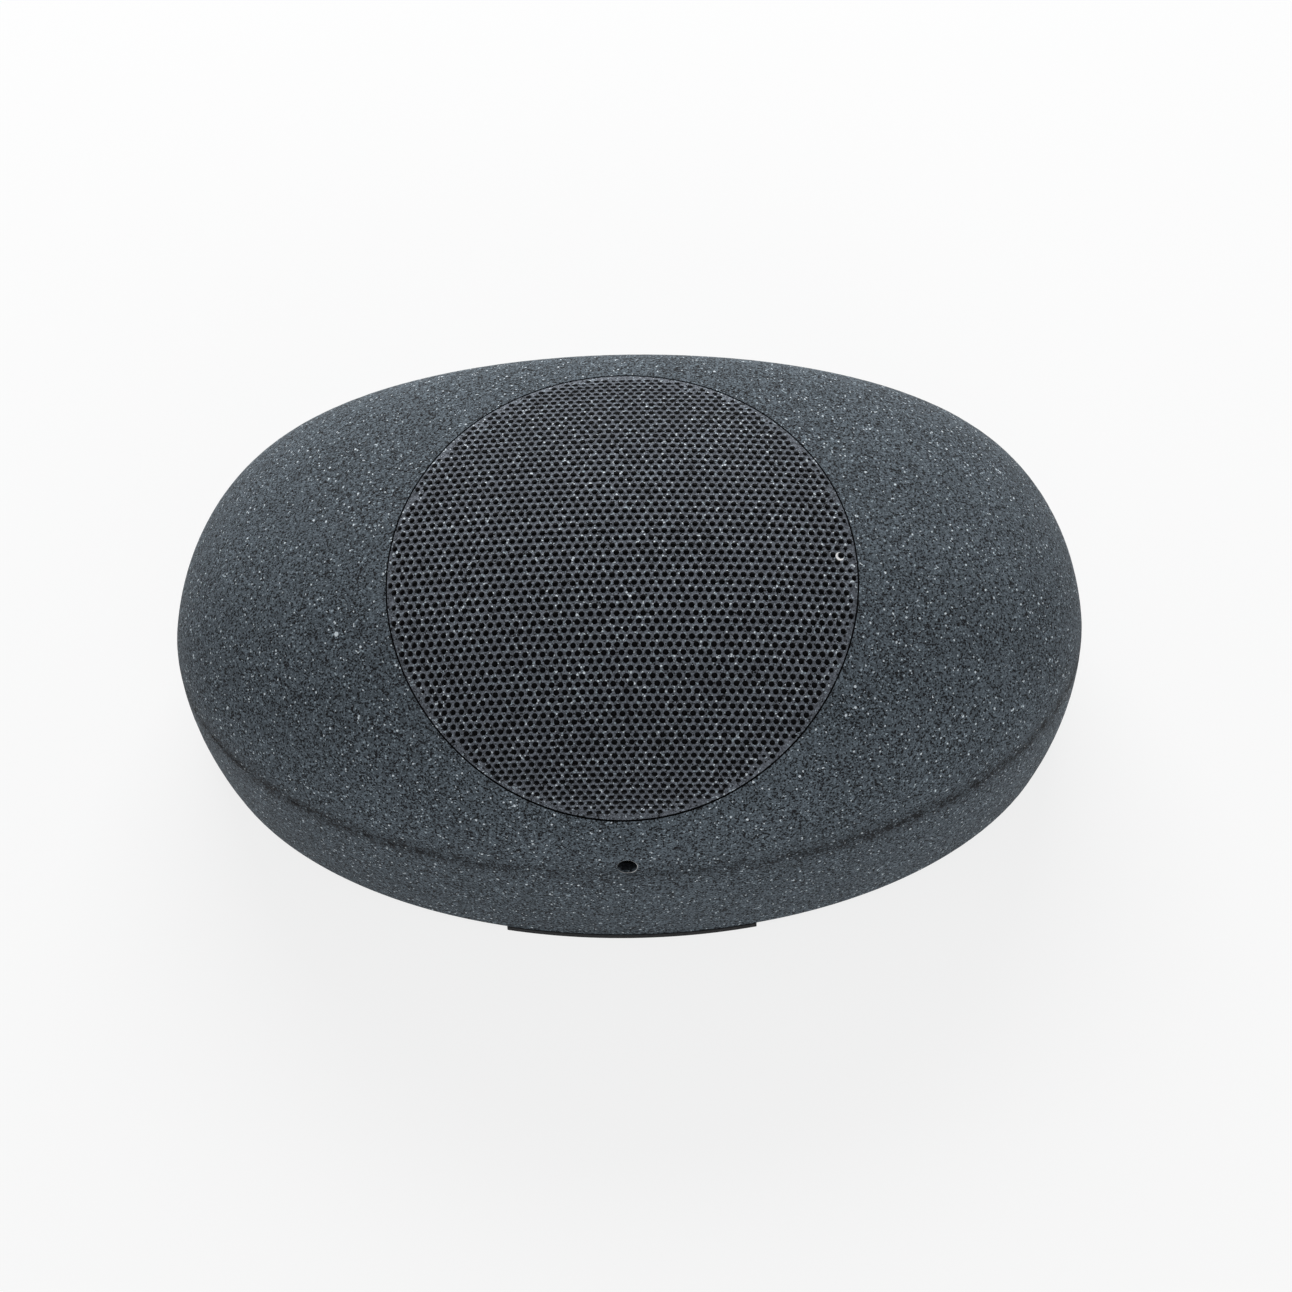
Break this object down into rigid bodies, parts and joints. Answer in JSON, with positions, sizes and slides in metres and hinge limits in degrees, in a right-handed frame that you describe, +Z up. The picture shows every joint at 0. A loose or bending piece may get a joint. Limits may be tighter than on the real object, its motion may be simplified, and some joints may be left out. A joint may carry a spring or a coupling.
{
  "type": "garden speaker",
  "caption": "Low pebble-shaped garden speaker: two moulded granite-fleck shells with a seam, a flush round perforated grille, and a full-range driver and line transformer inside",
  "frame": {"origin": "on the ground under the middle of the whole object, cable gland included", "axes": "+Z up, -Y towards the nose and the side that the grille faces, +X along the long axis to the right as seen from the front"},
  "size_m": [0.33, 0.2036, 0.134],
  "materials": {
    "granite_shell": "slate blue-grey granite-fleck coating, matt and slightly gritty, fine black, white and blue-white specks",
    "granite_grille": "perforated steel sheet in the same granite-fleck coating",
    "acoustic_cloth": "black open-weave acoustic cloth",
    "black_rubber": "soft matt black rubber",
    "black_foam": "closed-cell black foam",
    "basket_paint": "pressed steel, satin black paint",
    "black_screw": "blackened steel",
    "zinc_screw": "bright zinc-plated steel",
    "paper_cone": "coated black paper pulp",
    "dust_cap_skin": "moulded black cap, satin",
    "spider_cloth": "resin-stiffened amber cotton",
    "coil_copper": "enamelled copper winding on its former",
    "pole_steel": "zinc-plated low-carbon steel",
    "ferrite": "sintered ferrite, dark grey",
    "tag_board": "phenolic board with tinned tags",
    "core_steel": "varnished laminated steel",
    "coil_tape": "wound bobbin under amber tape",
    "strap_steel": "zinc-plated strip",
    "terminal_body": "ivory nylon",
    "terminal_brass": "plated brass",
    "red_lead": "flexible insulation",
    "blue_lead": "flexible insulation",
    "gland_plastic": "black nylon, satin"
  },
  "bodies": {
    "root": {"upper_shell": "granite_shell", "lower_shell": "granite_shell", "seam_seal": "black_rubber", "grille": "granite_grille", "grille_cloth": "acoustic_cloth", "driver_foam": "black_foam", "driver_basket": "basket_paint", "driver_screws": "black_screw", "surround": "black_rubber", "cone": "paper_cone", "dust_cap": "dust_cap_skin", "spider": "spider_cloth", "voice_coil": "coil_copper", "front_plate": "pole_steel", "magnet_ring": "ferrite", "back_plate": "pole_steel", "tag_strip": "tag_board", "transformer_core": "core_steel", "transformer_coil": "coil_tape", "transformer_strap": "strap_steel", "transformer_screws": "zinc_screw", "terminal_block": "terminal_body", "terminal_screws": "terminal_brass", "driver_leads": "red_lead", "supply_leads": "blue_lead", "shell_screws": "zinc_screw", "gland_body": "gland_plastic", "gland_washer": "black_rubber", "gland_bush": "black_rubber", "gland_cap": "gland_plastic", "gland_nut": "gland_plastic", "front_foot": "black_rubber", "rear_foot": "black_rubber"}
  },
  "joints": []
}
